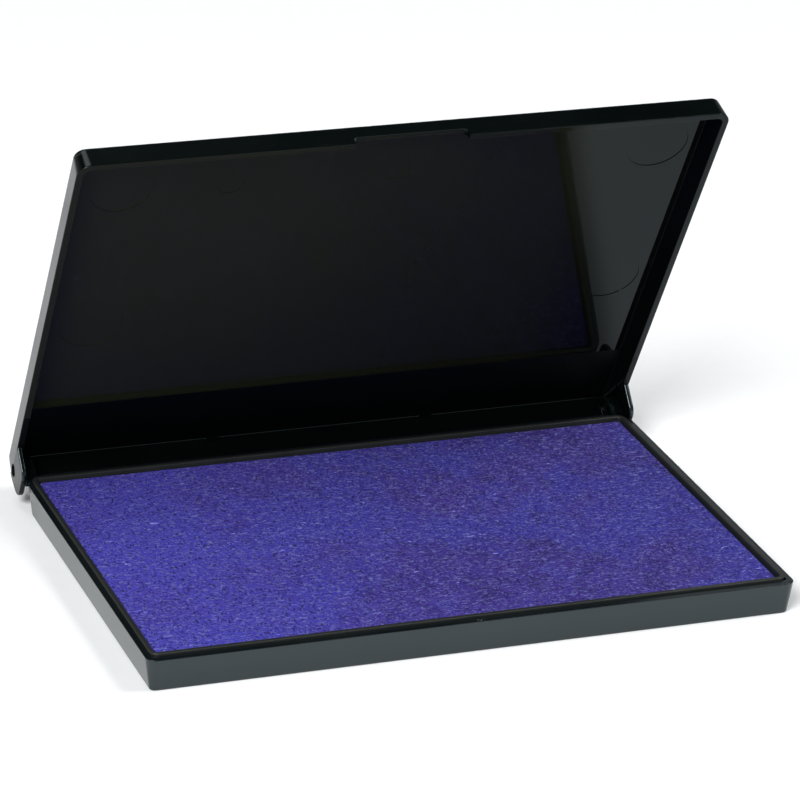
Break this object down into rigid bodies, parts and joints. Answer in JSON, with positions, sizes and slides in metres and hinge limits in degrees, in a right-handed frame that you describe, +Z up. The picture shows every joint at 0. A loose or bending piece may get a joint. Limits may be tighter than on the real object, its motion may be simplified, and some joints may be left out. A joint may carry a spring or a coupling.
{
  "type": "ink pad",
  "caption": "Hinged office stamp pad: slim black plastic tray with a violet cloth-covered ink pad in a frame, and a thin lid that turns on pins behind the tray.",
  "frame": {"origin": "middle of the tray's flat underside", "axes": "+X along the tray's long side, +Y from the front edge to the hinge, +Z up; the lid is open at 61.4 degrees at rest"},
  "size_m": [0.116, 0.0837, 0.0774],
  "materials": {
    "tray_plastic": "glossy moulded black plastic",
    "frame_plastic": "satin dark grey plastic",
    "foam_tape": "double-sided foam tape",
    "plate_plastic": "plain stiff sheet",
    "felt": "ink-soaked felt",
    "cloth": "napped violet pad cloth, damp with ink",
    "lid_plastic": "glossy moulded black plastic",
    "pin_steel": "plain steel pin"
  },
  "bodies": {
    "tray": {"base_tray": "tray_plastic", "pad_frame": "frame_plastic", "mounting_tape": "foam_tape", "backing_plate": "plate_plastic", "felt_core": "felt", "cover_cloth": "cloth", "hinge_pin_left": "pin_steel", "hinge_pin_right": "pin_steel"},
    "lid": {"lid": "lid_plastic"}
  },
  "joints": [
    {"name": "lid_hinge", "type": "hinge", "parent": "tray", "child": "lid", "pos_m": [0, 0.041, 0.0057], "axis": [-1, 0, 0], "range_deg": [-61.4, 118.6]}
  ]
}
